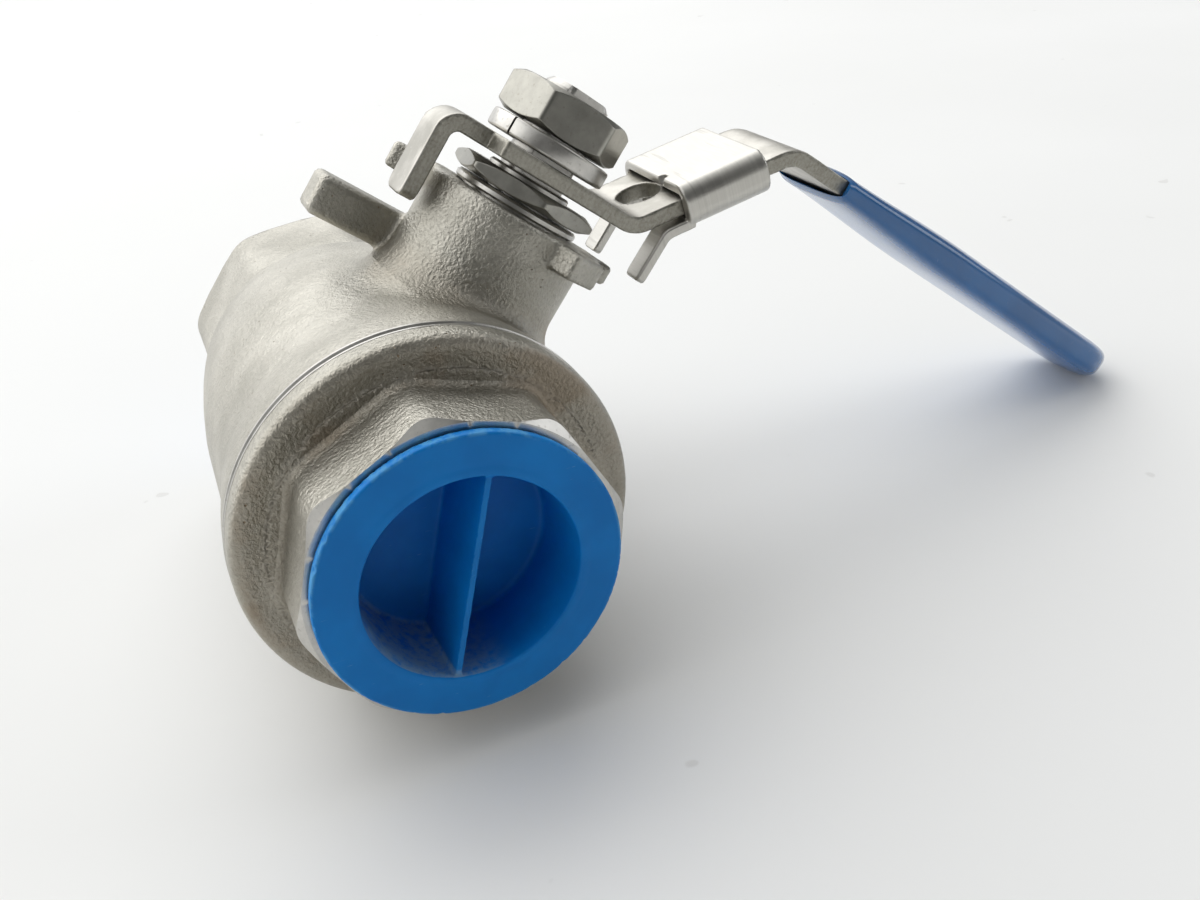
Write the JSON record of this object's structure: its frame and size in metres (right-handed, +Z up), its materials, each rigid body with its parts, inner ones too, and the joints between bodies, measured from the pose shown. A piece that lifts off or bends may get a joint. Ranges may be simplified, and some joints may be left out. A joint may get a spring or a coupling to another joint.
{
  "type": "lockable lever ball valve",
  "caption": "Two-piece full-port ball valve with screwed pipe ends, a bent lever with a dipped grip and sliding lock, and push-in thread plugs.",
  "frame": {"origin": "middle of the underside of the bounding box, on the table that the valve lies on", "axes": "+Z up, +Y along the pipe from the end cap to the body's own pipe end, +X the way the closed lever points; the stem leans 40 degrees from +Z towards +X"},
  "size_m": [0.165, 0.094, 0.0753],
  "materials": {
    "cast_stainless": "bead-blasted investment casting, satin",
    "turned_stainless": "bright turned",
    "pressed_stainless": "tumbled sheet, semi-matte",
    "polished_ball": "polished",
    "ptfe": "waxy white",
    "plug_plastic": "soft moulded polyethylene, slightly translucent",
    "dipped_vinyl": "glossy dipped vinyl"
  },
  "bodies": {
    "valve_body": {"body": "cast_stainless", "end_cap": "cast_stainless", "body_gasket": "ptfe", "seat_ring_front": "ptfe", "seat_ring_rear": "ptfe", "thrust_washer": "ptfe", "packing_ring_lower": "ptfe", "packing_ring_middle": "ptfe", "packing_ring_upper": "ptfe", "gland_bush": "turned_stainless"},
    "operator": {"stem": "turned_stainless", "gland_nut": "turned_stainless", "lever": "pressed_stainless", "grip_sleeve": "dipped_vinyl", "spring_washer": "turned_stainless", "handle_nut": "turned_stainless"},
    "ball": {"ball": "polished_ball"},
    "lock": {"lock_slider": "pressed_stainless"},
    "front_plug": {"thread_plug_front": "plug_plastic"},
    "rear_plug": {"thread_plug_rear": "plug_plastic"}
  },
  "joints": [
    {"name": "lever_turn", "type": "hinge", "parent": "valve_body", "child": "operator", "pos_m": [-0.02667, -0.00425, 0.06147], "axis": [0.6423, 0, 0.7664], "range_deg": [0, 90]},
    {"name": "ball_turn", "type": "hinge", "parent": "valve_body", "child": "ball", "pos_m": [-0.05583, -0.00425, 0.02668], "axis": [0.6423, 0, 0.7664], "range_deg": [0, 90]},
    {"name": "lock_slide", "type": "slide", "parent": "operator", "child": "lock", "axis": [0.9815, 0, 0.1914], "range_m": [-0.0028, 0.0015]},
    {"name": "front_plug_pull", "type": "slide", "parent": "valve_body", "child": "front_plug", "axis": [0, -1, 0], "range_m": [0, 0.02]},
    {"name": "rear_plug_pull", "type": "slide", "parent": "valve_body", "child": "rear_plug", "axis": [0, 1, 0], "range_m": [0, 0.02]}
  ],
  "couplings": [
    {"joint": "ball_turn", "follows": "lever_turn", "ratio": 1}
  ]
}
